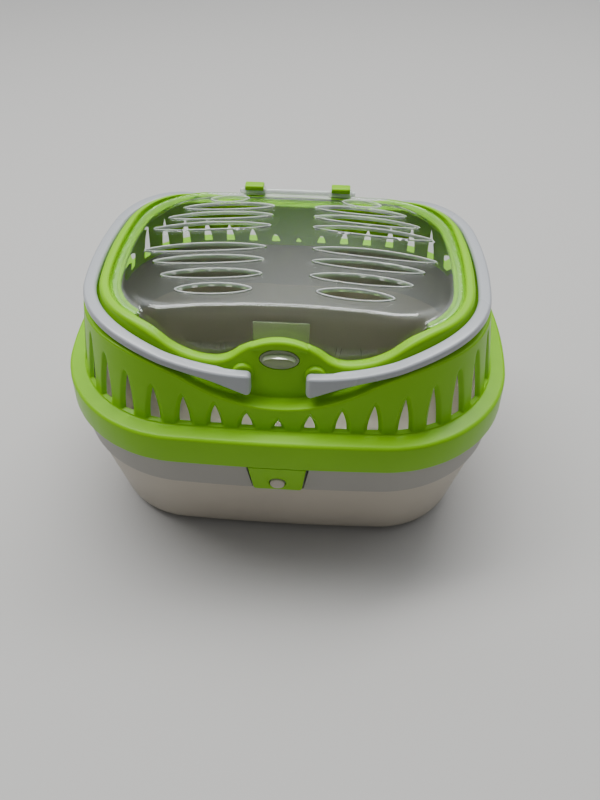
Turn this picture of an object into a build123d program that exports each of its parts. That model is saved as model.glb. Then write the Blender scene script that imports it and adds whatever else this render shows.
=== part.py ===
from build123d import *
import os
from math import atan2, cos, hypot, pi, radians, sin, sqrt, tan

# Small-animal and bird travel carrier, millimetres.
# +X is to the right, +Y to the back (hinge side), +Z up.
# The origin is on the floor, under the centre of the carrier.

# ---------------------------------------------------------------- driving dimensions
# Outline of the shell's flange, seen from above: eight tangent arcs.
half_width = 150.0
half_depth = 115.0
corner_radius = 87.0
front_arc_radius = 1600.0
side_arc_radius = 280.0

# Tray
tray_wall = 2.2
tray_floor = 2.6
tray_base_inset = 16.5
tray_base_corner_radius = 60.0
tray_foot_radius = 10.0
tray_tub_inset = 3.4
tray_band_height = 27.0
tray_band_cover = 1.5
tray_band_inset = 1.9
tray_band_top_inset = 1.1
tray_lip_inset = 3.4
lip_gap = 0.3

# Shell: skirt, flange and slotted wall
flange_height = 117.5
skirt_height = 21.0
skirt_flare = 2.0
skirt_wall = 2.2
flange_thickness = 2.2
flange_edge_radius = 2.0
foot_inset = 10.5
wall_lean = 12.0
shell_wall = 2.4

# Shoulder that the handles rest on
shoulder_front_height = 133.5
shoulder_below_rim = 11.5
shoulder_reach = 105.0

# Recessed wall and rim above the shoulder
rim_width = 6.2
rim_height = 5.5
rim_dip_depth = 18.0
rim_dip_x = 39.0
rim_dip_reach = 95.0
nose_drop = 3.4
nose_radius = 38.0
nose_band_width = 4.5
nose_bridge_half_width = 18.0
rear_dip_depth = 6.9
rear_dip_half = 47.0
rear_dip_run = 68.0

# Vent slots round the slotted wall
slot_pitch = 19.5
slot_sill_gap = 2.0
slot_width = 6.6
slot_centre_width = 4.2
slot_side_bulge = 0.66
slot_cut_margin = 4.0
slot_first_height = 4.0
slot_height_step = 4.4
slot_most_height = 38.0

# Ledge inside the rim, under the edge of the lid
ledge_width = 7.4
ledge_thickness = 2.2
ledge_depth = 4.2
ledge_end_x = 84.0
ledge_end_gap = 1.0

# Lid
lid_wall = 2.0
lid_gap = 1.2
lid_crown_height = 181.0
lid_crown_rise = 5.5
lid_crown_radius = 685.0
lid_face_lean = 36.0
lid_face_inset = 35.9
lid_face_depth = 14.5
lid_strip_thickness = 1.8
lid_rear_reach = 5.0
lid_lap = 1.5
lid_seat_gap = 0.3
lid_nose_depth = 9.2
lid_nose_half = 22.0
lid_corner_depth = 10.5
lid_corner_x = 75.0
slit_width = 7.6
slit_rim_width = 1.3
slit_rim_height = 1.2
slit_rows = (  # y, x of the inner end, x of the outer end
    (-49.0, 20.0, 64.5),
    (-33.5, 15.5, 76.5),
    (-18.0, 16.0, 85.0),
    (-4.0, 16.0, 94.0),
    (22.0, 15.0, 94.0),
    (35.5, 15.0, 86.0),
    (48.0, 15.0, 77.5),
    (58.5, 34.0, 60.0),
)

# Latch tongue of the lid, with its press button in the nose window
tongue_width = 33.0
tongue_thickness = 1.8
tongue_root_drop = 2.0
tongue_tip_drop = 21.6
tongue_slot = 0.6
tongue_root_gap = 0.5
tongue_tip_gap = 1.0
tongue_cut_depth = 6.0
button_width = 23.0
button_height = 13.0
button_drop = 13.5
button_proud = 1.0
window_gap = 0.6

# Hinge of the lid
hinge_inset = 33.0
hinge_rise = 2.9
hinge_pin_radius = 2.0
hinge_pin_gap = 0.1
hook_x = 32.0
hook_width = 15.0
hook_front_wall = 2.4
hook_rise = 5.8
hook_edge_radius = 2.0
hook_handle_gap = 0.4
hook_side_gap = 0.8
hook_mouth = 3.4
hook_swing_gap = 0.3
hinge_rod_half = 43.0

# Handles
handle_gap = 1.6
handle_depth = 8.0
handle_below_rim = 1.5
handle_shoulder_gap = 1.0
handle_rise_start = 18.0
handle_rise_end = 122.0
handle_thickness = 5.4
handle_end_thickness = 9.8
handle_end_flat = 10.0
handle_end_slope = 12.0
handle_flat_lap = 4.0
handle_end_radius = 2.5
handle_end_x = 16.0
pivot_x = 21.0
pivot_depth = 4.9
pivot_radius = 2.5
pivot_gap = 0.05
pivot_pin_tail = 0.3
pivot_boss_radius = 9.0
boss_gap = 0.3

# Clips that hold the shell on the tray, front and rear
clip_root_width = 36.0
clip_tip_width = 31.0
clip_thickness = 2.2
clip_length = 24.0
clip_tip_radius = 2.0
clip_lean = 4.5
clip_root_gap = 0.3
clip_pocket_width = 40.0
clip_pocket_inset = 4.6
clip_pocket_pad = 2.2
stud_radius = 4.65
stud_hole_gap = 0.6
stud_drop = 16.5
stud_proud = 1.2
stud_dome = 1.0

REACH = 400.0  # longer than the carrier in any direction
LAP = 0.5  # how far joined forms run into each other

# ---------------------------------------------------------------- heights and places that follow
skirt_bottom = flange_height - skirt_height
flange_under = flange_height - flange_thickness
tray_lip_top = flange_under - lip_gap
tray_band_top = skirt_bottom + tray_band_cover
tray_tub_top = tray_band_top - tray_band_height
clip_tip_z = skirt_bottom - clip_length
stud_z = skirt_bottom - stud_drop
rim_crest = lid_crown_height - lid_crown_rise
rim_dip = rim_crest - rim_dip_depth
nose_crest = rim_crest - nose_drop
rear_dip = rim_crest - rear_dip_depth
shoulder_side_height = rim_crest - shoulder_below_rim
rim_set_back = handle_depth + handle_gap
ledge_top = rim_crest - ledge_depth
lid_face_level = rim_crest - lid_face_depth
lid_nose_edge = nose_crest - lid_nose_depth
lid_corner_edge = rim_crest - lid_corner_depth
tongue_root_z = rim_crest - tongue_root_drop
tongue_tip_z = nose_crest - tongue_tip_drop
button_z = nose_crest - button_drop
hinge_y = half_depth - hinge_inset
hinge_z = ledge_top + hinge_rise
hook_top = hinge_z + hook_rise
handle_side_top = rim_crest - handle_below_rim
handle_end_top = (shoulder_front_height + rim_crest) / 2
pivot_z = handle_end_top - pivot_depth


# ---------------------------------------------------------------- outline and tapers
def arc_through(centre, radius, start, end):
    """Arc about centre from start to end, by its shorter way, in the XY plane."""
    a0 = atan2(start.Y - centre.Y, start.X - centre.X)
    a1 = atan2(end.Y - centre.Y, end.X - centre.X)
    turn = (a1 - a0 + pi) % (2 * pi) - pi
    middle = centre + Vector(cos(a0 + turn / 2), sin(a0 + turn / 2)) * radius
    return Edge.make_three_point_arc(start, middle, end)


def outline(inset, height, corner=None):
    """Wire of the carrier's outline, moved in by inset, at a height above the floor."""
    front_radius = front_arc_radius - inset
    side_radius = side_arc_radius - inset
    radius = corner_radius - inset if corner is None else corner
    front_centre = Vector(0, front_radius - (half_depth - inset))
    side_centre = Vector(half_width - inset - side_radius, 0)
    # the corner arc is tangent to both: its centre is where two circles cross
    apart = side_centre - front_centre
    span = hypot(apart.X, apart.Y)
    to_front = front_radius - radius
    to_side = side_radius - radius
    along = (to_front**2 - to_side**2 + span**2) / (2 * span)
    across = sqrt(to_front**2 - along**2)
    unit = apart * (1 / span)
    corner_centre = front_centre + unit * along + Vector(-unit.Y, unit.X) * across
    on_front = front_centre + (corner_centre - front_centre).normalized() * front_radius
    on_side = side_centre + (corner_centre - side_centre).normalized() * side_radius

    def flip(p, sx, sy):
        return Vector(p.X * sx, p.Y * sy)

    edges = []
    for sx, sy in ((1, 1), (-1, -1)):
        edges.append(arc_through(flip(front_centre, 1, sy), front_radius,
                                 flip(on_front, -sx, sy), flip(on_front, sx, sy)))
        edges.append(arc_through(flip(corner_centre, sx, sy), radius,
                                 flip(on_front, sx, sy), flip(on_side, sx, sy)))
        edges.append(arc_through(flip(side_centre, sx, 1), side_radius,
                                 flip(on_side, sx, sy), flip(on_side, sx, -sy)))
        edges.append(arc_through(flip(corner_centre, sx, -sy), radius,
                                 flip(on_side, sx, -sy), flip(on_front, sx, -sy)))
    return Wire(edges).moved(Location((0, 0, height)))


def taper(z0, inset0, z1, inset1, corner0=None, corner1=None):
    """Solid between two outlines, with straight walls."""
    ends = [outline(inset0, z0, corner0), outline(inset1, z1, corner1)]
    return Solid.make_loft(ends, ruled=True)


def wall_inset(z):
    """Inset of the leaning wall's outer face at height z."""
    return foot_inset + (z - flange_height) * tan(radians(wall_lean))


def leaning(add, z0, z1):
    """Solid inside the leaning wall's outer face moved in by add."""
    return taper(z0, wall_inset(z0) + add, z1, wall_inset(z1) + add)


def reaching_back(add, z0, z1):
    """As leaning, but its rear half lies further back, over the rear of the rim."""
    plain = leaning(add, z0, z1)
    return plain + plain.moved(Location((0, lid_rear_reach, 0)))


def leaning_ring(add_out, add_in, z0, z1):
    """Leaning wall between two offsets from its outer face."""
    return leaning(add_out, z0, z1) - leaning(add_in, z0 - 1, z1 + 1)


# ---------------------------------------------------------------- level lines
def s_curve(x0, z0, x1, z1, top_radius=None):
    """Two tangent arcs, level at both ends, in the XZ plane; equal unless the upper one is given."""
    run = x1 - x0
    rise = z1 - z0
    both_radii = (run**2 + rise**2) / (2 * abs(rise))
    if top_radius is None:
        top_radius = both_radii / 2
    radii = (both_radii - top_radius, top_radius)
    if rise < 0:
        radii = (top_radius, both_radii - top_radius)
    half_turn = atan2(abs(rise), run)
    up = 1 if rise > 0 else -1
    start = Vector(x0, 0, z0)
    end = Vector(x1, 0, z1)

    def along(radius, turn):
        return Vector(radius * sin(turn), 0, radius * (1 - cos(turn)) * up)

    joint = start + along(radii[0], 2 * half_turn)
    first = Edge.make_three_point_arc(start, start + along(radii[0], half_turn), joint)
    second = Edge.make_three_point_arc(joint, end - along(radii[1], half_turn), end)
    return [first, second]


def under(stations, y0, y1, middle_radius=None):
    """Solid under a level line that is mirrored about x = 0, from y0 to y1.

    stations are (x, z) from the centre outwards: level between equal heights,
    an S of two arcs between different ones. An S that starts at the centre
    may have its own radius there.
    """
    full = [(-x, z) for x, z in reversed(stations)] + list(stations[1 if stations[0][0] == 0 else 0:])
    edges = []
    for (x0, z0), (x1, z1) in zip(full, full[1:]):
        if abs(z0 - z1) < 1e-6:
            edges.append(Edge.make_line((x0, 0, z0), (x1, 0, z1)))
        else:
            edges += s_curve(x0, z0, x1, z1, middle_radius if 0 in (x0, x1) else None)
    low_left = Vector(full[0][0], 0, 0)
    low_right = Vector(full[-1][0], 0, 0)
    edges.append(Edge.make_line((full[-1][0], 0, full[-1][1]), low_right))
    edges.append(Edge.make_line(low_right, low_left))
    edges.append(Edge.make_line(low_left, (full[0][0], 0, full[0][1])))
    face = Face(Wire(edges)).moved(Location((0, y0, 0)))
    return Solid.extrude(face, Vector(0, y1 - y0, 0))


def lowered(stations, drop):
    return [(x, z - drop) for x, z in stations]


shoulder_line = [(0, shoulder_front_height), (shoulder_reach, shoulder_side_height),
                 (REACH / 2, shoulder_side_height)]
front_crest_line = [(0, nose_crest), (rim_dip_x, rim_dip), (rim_dip_reach, rim_crest),
                    (REACH / 2, rim_crest)]
rear_crest_line = [(0, rear_dip), (rear_dip_half, rear_dip),
                   (rear_dip_half + rear_dip_run, rim_crest), (REACH / 2, rim_crest)]


def under_crest(drop=0.0):
    front = under(lowered(front_crest_line, drop), -REACH / 2, 0, nose_radius)
    rear = under(lowered(rear_crest_line, drop), 0, REACH / 2)
    return front + rear


def box(x0, x1, y0, y1, z0, z1):
    return Solid.make_box(x1 - x0, y1 - y0, z1 - z0).moved(Location((x0, y0, z0)))


def rod_x(x0, x1, y, z, radius):
    return Solid.make_cylinder(radius, x1 - x0, Plane(origin=(x0, y, z), z_dir=(1, 0, 0)))


def rod_y(x, z, y0, y1, radius):
    return Solid.make_cylinder(radius, y1 - y0, Plane(origin=(x, y0, z), z_dir=(0, 1, 0)))


def both_ends(piece):
    """A piece at the front and its mirror image at the rear."""
    return [piece, piece.mirror(Plane.XZ)]


# ---------------------------------------------------------------- tray
def tub(grow, z_floor, corner_less):
    """Tub of the tray: tapered walls and a rounded foot. grow moves its faces in."""
    body = taper(z_floor, tray_base_inset + grow, tray_tub_top, tray_tub_inset + grow,
                 tray_base_corner_radius - corner_less, corner_radius - tray_tub_inset - grow)
    foot_edges = body.edges().group_by(Axis.Z)[0]
    return body.fillet(tray_foot_radius - grow, foot_edges)


def make_tray():
    outside = tub(0, 0, 0)
    outside += taper(tray_tub_top, tray_band_inset, tray_band_top, tray_band_top_inset)
    outside += taper(tray_band_top, tray_lip_inset, tray_lip_top, tray_lip_inset)
    inside = tub(tray_wall, tray_floor, tray_wall)
    lip_inside = tray_lip_inset + tray_wall
    inside += taper(tray_tub_top, tray_tub_inset + tray_wall, tray_lip_top + 1, lip_inside)
    pocket_y = -(half_depth - clip_pocket_inset)
    pad_half = clip_pocket_width / 2 + clip_pocket_pad
    pad = box(-pad_half, pad_half, pocket_y, pocket_y + clip_pocket_pad,
              tray_tub_top - tray_wall, tray_lip_top)
    pocket = box(-clip_pocket_width / 2, clip_pocket_width / 2, -REACH, pocket_y,
                 tray_tub_top, tray_band_top)
    stud_front = clip_outer_y(stud_z) - stud_proud
    stud = rod_y(0, stud_z, stud_front, pocket_y + 2 * LAP, stud_radius)
    stud = stud.fillet(stud_dome, stud.edges().group_by(Axis.Y)[0])
    tray = outside - inside
    for end_pad, end_pocket, end_stud in zip(both_ends(pad), both_ends(pocket), both_ends(stud)):
        tray = tray + end_pad - end_pocket + end_stud
    return tray


# ---------------------------------------------------------------- clips
def clip_outer_y(z):
    """Outer face of the front clip, which leans in towards its tip."""
    root_y = -(half_depth + skirt_flare)
    return root_y + (skirt_bottom - z) * tan(radians(clip_lean))


def make_clip():
    root_z = skirt_bottom - clip_root_gap
    front = [(-clip_root_width / 2, root_z), (clip_root_width / 2, root_z),
             (clip_tip_width / 2, clip_tip_z), (-clip_tip_width / 2, clip_tip_z)]
    blank = Solid.extrude(Face(Wire.make_polygon([Vector(x, -REACH / 2, z) for x, z in front])),
                          Vector(0, REACH / 2, 0))
    blank = blank.fillet(clip_tip_radius, blank.edges().filter_by(Axis.Y).group_by(Axis.Z)[0])
    side = [(clip_outer_y(root_z), root_z), (clip_outer_y(root_z) + clip_thickness, root_z),
            (clip_outer_y(clip_tip_z) + clip_thickness, clip_tip_z), (clip_outer_y(clip_tip_z), clip_tip_z)]
    plate = Solid.extrude(Face(Wire.make_polygon([Vector(-REACH / 2, y, z) for y, z in side])),
                          Vector(REACH, 0, 0))
    hole = rod_y(0, stud_z, -REACH / 2, 0, stud_radius + stud_hole_gap)
    return (blank & plate) - hole


# ---------------------------------------------------------------- shell
def slot_cutters():
    """Lancet slots, evenly spaced round the foot of the slotted wall."""
    foot = outline(foot_inset, flange_height)
    count = 4 * round(foot.length / slot_pitch / 4)
    front_arc_half = foot.edges()[0].length / 2
    cutters = []
    for i in range(count):
        from_middle = min(i % (count // 2), -i % (count // 2))
        height = min(slot_first_height + slot_height_step * from_middle, slot_most_height)
        width = slot_centre_width if from_middle == 0 else slot_width
        along = (front_arc_half + i * foot.length / count) % foot.length
        place = foot.position_at(along, position_mode=PositionMode.LENGTH)
        tangent = foot.tangent_at(along, position_mode=PositionMode.LENGTH)
        outward = tangent.cross(Vector(0, 0, 1)).normalized()
        if outward.dot(Vector(place.X, place.Y, 0)) < 0:
            outward = outward * -1
        sill = place + Vector(0, 0, slot_sill_gap)
        side = tangent.normalized() * (width / 2)
        top = sill + Vector(0, 0, height)
        bulge = Vector(0, 0, height / 2)
        right_arc = Edge.make_three_point_arc(sill + side, sill + side * slot_side_bulge + bulge, top)
        left_arc = Edge.make_three_point_arc(top, sill - side * slot_side_bulge + bulge, sill - side)
        base = Edge.make_line(sill - side, sill + side)
        face = Face(Wire([base, right_arc, left_arc])).moved(Location(outward * slot_cut_margin))
        deep = height * tan(radians(wall_lean)) + shell_wall + 1.5 * slot_cut_margin
        cutters.append(Solid.extrude(face, outward * -deep))
    return cutters


def make_shell():
    top = rim_crest + 2
    low = flange_under
    skirt = taper(skirt_bottom, -skirt_flare, flange_height, 0)
    skirt = skirt.fillet(flange_edge_radius, skirt.edges().group_by(Axis.Z)[-1])
    skirt_inside = taper(skirt_bottom - 1, skirt_wall - skirt_flare * (1 + 1 / skirt_height),
                         flange_under, skirt_wall - skirt_flare * flange_thickness / skirt_height)
    skirt = skirt - skirt_inside - leaning(shell_wall, low - 1, top)

    below_shoulder = under(shoulder_line, -REACH / 2, REACH / 2)
    below_shelf = under(lowered(shoulder_line, shell_wall), -REACH / 2, REACH / 2)
    panel_in = rim_set_back + shell_wall
    lower_wall = leaning_ring(0, shell_wall, low, top) & below_shoulder
    for cutter in slot_cutters():
        lower_wall = lower_wall - cutter
    shelf = (leaning_ring(0, panel_in, low, top) & below_shoulder) - below_shelf
    panel = (leaning_ring(rim_set_back, panel_in, low, top) & under_crest()) - below_shelf
    rim = leaning_ring(rim_set_back, rim_set_back + rim_width, low, top)
    rim = (rim & under_crest()) - under_crest(rim_height)
    # the bridge over the latch is a little thinner than the rim beside it
    trim = leaning_ring(rim_set_back + nose_band_width, rim_set_back + rim_width + 1, low, top)
    rim = rim - (trim & front_middle(nose_bridge_half_width))
    # the lid's edge lies in a step that takes more and more of the rim towards the rear
    rim = rim - reaching_back(rim_set_back + rim_width, ledge_top, top)

    ledge = leaning_ring(panel_in - LAP, rim_set_back + rim_width + ledge_width, low, top)
    ledge = ledge & box(-REACH, REACH, -REACH, REACH, ledge_top - ledge_thickness, ledge_top)
    ledge = (ledge & under_crest()) - front_middle(ledge_end_x)

    shell = skirt + lower_wall + shelf + panel + rim + ledge

    window = oval_prism(button_width + 2 * window_gap, button_height + 2 * window_gap,
                        -half_depth, -wall_y(button_z + button_height, rim_set_back + rim_width))
    shell = shell - window
    shell = shell + pivot_bosses() - pivot_holes()
    return shell + hinge_hooks()


def front_middle(half):
    """Block over the middle of the front, up to half either side."""
    return box(-half, half, -REACH, 0, 0, REACH)


def wall_y(z, add):
    """Distance from the middle plane to the wall's outer face at x = 0, moved in by add."""
    return half_depth - wall_inset(z) - add


def oval_prism(width, height, y0, y1):
    """Oval bar along Y through the middle of the latch window."""
    plane = Plane(origin=(0, y0, button_z), x_dir=(1, 0, 0), z_dir=(0, 1, 0))
    face = Face(Wire(Edge.make_ellipse(width / 2, height / 2, plane)))
    return Solid.extrude(face, Vector(0, y1 - y0, 0))


def boss_face_y():
    """Flat face of the pivot bosses, level with the wall where the handle's end swings lowest."""
    swing = hypot(pivot_x - handle_end_x, handle_end_top - pivot_z)
    return wall_y(pivot_z - swing, rim_set_back)


def pivot_bosses():
    """Round bosses behind the handle ends."""
    bosses = None
    for x in (-pivot_x, pivot_x):
        bar = rod_y(x, pivot_z, -boss_face_y(), boss_face_y(), pivot_boss_radius)
        bosses = bar if bosses is None else bosses + bar
    return bosses - leaning(rim_set_back + LAP, flange_height, rim_crest)


def pivot_holes():
    bars = None
    for x in (-pivot_x, pivot_x):
        bar = rod_y(x, pivot_z, -REACH / 2, REACH / 2, pivot_radius + pivot_gap)
        bars = bar if bars is None else bars + bar
    return bars


def hinge_hooks():
    """Two hooks on the rear rim that hold the lid's rod; their mouths are narrower than the rod."""
    hooks = None
    bore = hinge_pin_radius + hinge_pin_gap
    front_y = hinge_y - bore - hook_front_wall
    # the handles swing past the rear faces
    rear_y = wall_y(shoulder_side_height, handle_depth) - hook_handle_gap
    low = rear_dip - rim_height + LAP
    for x in (-hook_x, hook_x):
        hook = box(x - hook_width / 2, x + hook_width / 2, front_y, rear_y, low, hook_top)
        hook = hook.fillet(hook_edge_radius, hook.edges().filter_by(Axis.X).group_by(Axis.Z)[-1])
        hook = hook - rod_x(-REACH / 2, REACH / 2, hinge_y, hinge_z, bore)
        hook = hook - box(-REACH / 2, REACH / 2, front_y - LAP, hinge_y,
                          hinge_z - hook_mouth / 2, hinge_z + hook_mouth / 2)
        hooks = hook if hooks is None else hooks + hook
    return hooks


# ---------------------------------------------------------------- lid
def lid_face(add, z0, z1):
    """Sloping faces of the lid, moved in by add."""
    slope = tan(radians(lid_face_lean))
    return taper(z0, lid_face_inset + (z0 - lid_face_level) * slope + add,
                 z1, lid_face_inset + (z1 - lid_face_level) * slope + add)


def crowned(drop, z_floor):
    """Space under the lid's crowned top, lowered by drop."""
    crown = rod_y(0, lid_crown_height - lid_crown_radius - drop, -REACH / 2, REACH / 2,
                  lid_crown_radius)
    return crown & box(-REACH / 2, REACH / 2, -REACH / 2, REACH / 2, z_floor, REACH)


def lens(inner, outer, width, z0, z1, y, grow=0.0):
    """Upright lens-shaped bar: a slit with pointed ends, along X."""
    start = Vector(inner - grow, y, z0)
    end = Vector(outer + grow, y, z0)
    middle = (start + end) * 0.5
    side = Vector(0, width / 2 + grow, 0)
    face = Face(Wire([Edge.make_three_point_arc(start, middle + side, end),
                      Edge.make_three_point_arc(end, middle - side, start)]))
    return Solid.extrude(face, Vector(0, 0, z1 - z0))


def slit_bars(grow):
    """Upright bars with the outline of every slit, made larger by grow."""
    bars = []
    for y, inner, outer in slit_rows:
        for x0, x1 in ((inner, outer), (-outer, -inner)):
            bars.append(lens(x0, x1, slit_width, ledge_top, REACH, y, grow))
    return bars


def make_lid():
    low = rim_dip - lid_lap
    top = lid_crown_height + 2
    inner_rim = rim_set_back + rim_width
    seat = reaching_back(inner_rim + lid_gap, low, top)
    outside = lid_face(0, low, top) & crowned(0, low) & seat
    inside = lid_face(lid_wall, low - 1, top) & crowned(lid_wall, low - 2)
    inside = inside & leaning(inner_rim + lid_gap + lid_wall, low - 1, top)
    # the front edge follows the rim down; the sides and back stop at the ledge
    strip_low = ledge_top + lid_seat_gap
    front_line = [(0, lid_nose_edge), (lid_nose_half, lid_nose_edge),
                  (rim_dip_x, rim_dip - lid_lap), (lid_corner_x, lid_corner_edge),
                  (REACH / 2, lid_corner_edge)]
    front = front_middle(ledge_end_x - ledge_end_gap)
    below = box(-REACH, REACH, -REACH, REACH, 0, strip_low) - front
    dome = outside - inside - below - (under(front_line, -REACH / 2, 0) & front)
    strip = seat - lid_face(lid_wall, low, top)
    strip = strip & box(-REACH, REACH, -REACH, REACH, strip_low, strip_low + lid_strip_thickness)
    lid = dome + (strip - front)
    # each slit has a raised rim round it, which stands on the crown and on the sloping faces
    rim_space = crowned(-slit_rim_height, low) & lid_face(-slit_rim_height, low, top)
    rim_space = rim_space - (crowned(lid_wall - LAP, low - 1) & lid_face(lid_wall - LAP, low - 1, top))
    for bar in slit_bars(slit_rim_width):
        lid = lid + (bar & rim_space)
    for bar in slit_bars(0):
        lid = lid - bar
    lid = lid - tongue_clearance()
    # open at the hooks, where only the rod passes, as far as it must swing clear of their tops
    swing = hypot(hook_front_wall + hinge_pin_radius + hinge_pin_gap, hook_rise) + hook_swing_gap
    half = hook_width / 2 + hook_side_gap
    for x in (-hook_x, hook_x):
        lid = lid - box(x - half, x + half, hinge_y - swing, REACH, low, top)
    return lid + lid_hinge_rod()


def lid_hinge_rod():
    """Rod at the lid's rear edge, which turns in the hooks."""
    return rod_x(-hinge_rod_half, hinge_rod_half, hinge_y, hinge_z, hinge_pin_radius)


# ---------------------------------------------------------------- latch tongue
def tongue_slab(grow, thickness_in, thickness_out):
    """Slab along the lid's front face, from the tongue's root down to its tip."""
    slope = tan(radians(lid_face_lean))
    root_y = -(half_depth - lid_face_inset - (tongue_root_z - lid_face_level) * slope)
    tip_y = -(half_depth - lid_face_inset - (button_z - lid_face_level) * slope)
    tip_y = max(tip_y, -wall_y(tongue_tip_z, rim_set_back + shell_wall) + tongue_tip_gap)
    side = [(root_y - thickness_out, tongue_root_z), (root_y + thickness_in, tongue_root_z),
            (tip_y + thickness_in, tongue_tip_z), (tip_y - thickness_out, tongue_tip_z)]
    half = tongue_width / 2 + grow
    return Solid.extrude(Face(Wire.make_polygon([Vector(-half, y, z) for y, z in side])),
                         Vector(2 * half, 0, 0))


def tongue_clearance():
    """Cut in the lid's front face that frees the tongue."""
    slot = tongue_slab(tongue_slot, tongue_cut_depth, tongue_cut_depth)
    return slot + slot.moved(Location((0, 0, tongue_root_gap)))


def make_tongue():
    plate = tongue_slab(0, tongue_thickness, 0)
    button_front = -wall_y(button_z, rim_set_back) - button_proud
    button = oval_prism(button_width, button_height, button_front, 0)
    behind = tongue_slab(tongue_slot, half_depth, 0)
    return plate + (button - behind)


# ---------------------------------------------------------------- handles
def make_handle():
    """Right-hand handle: a bail that lies along the shoulder from front to rear pivot."""
    ring = leaning_ring(0, handle_depth, flange_height, rim_crest + 5)
    top = [(0, handle_end_top), (handle_rise_start, handle_end_top),
           (handle_rise_end, handle_side_top), (REACH / 2, handle_side_top)]
    below_top = under(top, -REACH / 2, REACH / 2)
    below_bottom = under(lowered(top, handle_thickness), -REACH, REACH)
    bail = (ring & (below_top - below_bottom)) & box(handle_end_x, REACH, -REACH, REACH, 0, REACH)
    # the ends are deeper, and round at their lower corner
    low = handle_end_top - handle_end_thickness
    flat_x = handle_end_x + handle_end_flat
    slope_x = flat_x + handle_end_slope
    inside_top = handle_end_top - 2 * LAP
    profile = [(handle_end_x, inside_top), (handle_end_x, low), (flat_x, low),
               (slope_x, handle_end_top - handle_thickness + LAP), (slope_x, inside_top)]
    face = Face(Wire.make_polygon([Vector(x, -REACH / 2, z) for x, z in profile]))
    end = Solid.extrude(face, Vector(0, REACH, 0))
    corner = end.edges().filter_by(Axis.Y).sort_by(lambda e: e.center().X + e.center().Z)[0]
    end = end.fillet(handle_end_radius, [corner])
    bail = bail + (ring & end)
    # flat inner faces that turn against the bosses
    inner_y = boss_face_y() + boss_gap
    bail = bail - box(0, slope_x - handle_flat_lap, -inner_y, inner_y, 0, REACH)
    bail = bail - under(lowered(shoulder_line, -handle_shoulder_gap), -REACH / 2, REACH / 2)
    tail_y = wall_y(pivot_z, rim_set_back + shell_wall) - pivot_pin_tail
    pin = rod_y(pivot_x, pivot_z, -inner_y - 2 * LAP, -tail_y, pivot_radius)
    for piece in both_ends(pin):
        bail = bail + piece
    return bail


# ---------------------------------------------------------------- pieces
def save(piece, name):
    os.makedirs("parts", exist_ok=True)
    solids = piece.solids() if hasattr(piece, "solids") else [piece]
    shape = solids[0] if len(solids) == 1 else Compound(solids)
    export_step(shape, f"parts/{name}.step")


handle = make_handle()
clip = make_clip()
save(make_tray(), "tray")
save(make_shell(), "body_shell")
save(clip, "front_clip")
save(clip.mirror(Plane.XZ), "rear_clip")
save(make_lid(), "lid")
save(make_tongue(), "lid_latch_tongue")
save(handle, "right_handle")
save(handle.mirror(Plane.YZ), "left_handle")
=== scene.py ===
from math import atan2, cos, pi, radians, sin, sqrt, tan

import bmesh
import bpy
import numpy as np
from mathutils import Matrix, Vector, geometry

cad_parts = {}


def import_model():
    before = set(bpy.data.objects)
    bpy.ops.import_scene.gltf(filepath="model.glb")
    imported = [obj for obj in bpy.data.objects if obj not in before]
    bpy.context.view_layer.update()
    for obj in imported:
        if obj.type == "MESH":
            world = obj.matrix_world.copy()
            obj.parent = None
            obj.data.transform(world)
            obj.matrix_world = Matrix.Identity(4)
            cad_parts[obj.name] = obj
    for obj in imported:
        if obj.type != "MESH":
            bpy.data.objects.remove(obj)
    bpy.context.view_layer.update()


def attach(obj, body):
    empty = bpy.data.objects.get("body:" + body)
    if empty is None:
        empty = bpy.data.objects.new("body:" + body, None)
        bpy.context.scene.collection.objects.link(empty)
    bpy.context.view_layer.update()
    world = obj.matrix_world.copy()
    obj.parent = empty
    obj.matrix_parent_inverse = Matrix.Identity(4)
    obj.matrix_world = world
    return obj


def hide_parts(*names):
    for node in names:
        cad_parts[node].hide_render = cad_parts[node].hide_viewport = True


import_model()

MM = 0.001
SCENE = bpy.context.scene

# ---- sizes in mm
# plan of the flange: half sizes, and the radii of its corners, front and sides
HALF_W, HALF_D, CORNER_R = 150.0, 115.0, 87.0
FRONT_R, SIDE_R = 1600.0, 280.0
# shell: flange with its flared skirt, leaning wall, rim on the recessed wall, nose lip, ledge
FLANGE_Z, SKIRT_H, FLARE, SKIRT_T, FLANGE_T = 117.5, 21.0, 2.0, 2.2, 2.2
FOOT_IN, LEAN_DEG, WALL_T, MID_WALL_Z = 10.5, 12.0, 2.4, 150
LEAN = tan(radians(LEAN_DEG))
RIM_BACK, RIM_W, RIM_H = 9.6, 6.2, 5.5
NOSE_R, LIP_HALF, LIP_OUT = 38.0, 16.6, 1.0
LEDGE_TOP, LEDGE_T, LEDGE_W, LEDGE_END = 171.3, 2.2, 7.4, 84.0
# level lines, as (|x|, z): shoulder, rim's crest, front and rear, handles' top, lid's front edge
SHOULDER = [(0, 133.5), (105, 164.0), (400, 164.0)]
CREST_F = [(0, 170.9), (39, 156.2), (95, 175.5), (400, 175.5)]
CREST_R = [(0, 168.6), (47, 168.6), (115, 175.5), (400, 175.5)]
HANDLE_TOP = [(0, 154.5), (18, 154.5), (122, 173.6), (400, 173.6)]
LID_FRONT = [(0, 159.0), (22, 159.0), (39, 153.0), (75, 162.0), (400, 162.0)]
# handles, with their deeper ends and their pivots
HANDLE_H, HANDLE_D, HANDLE_R, HANDLE_X, HANDLE_INNER_Y = 5.4, 8.0, 1.9, 16.0, 89.9
HANDLE_END_X, HANDLE_END_Z, HANDLE_END_RISE = 19, 141.2, 0.40
PIVOT_X, PIVOT_Z = 21.0, 149.6
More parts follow.
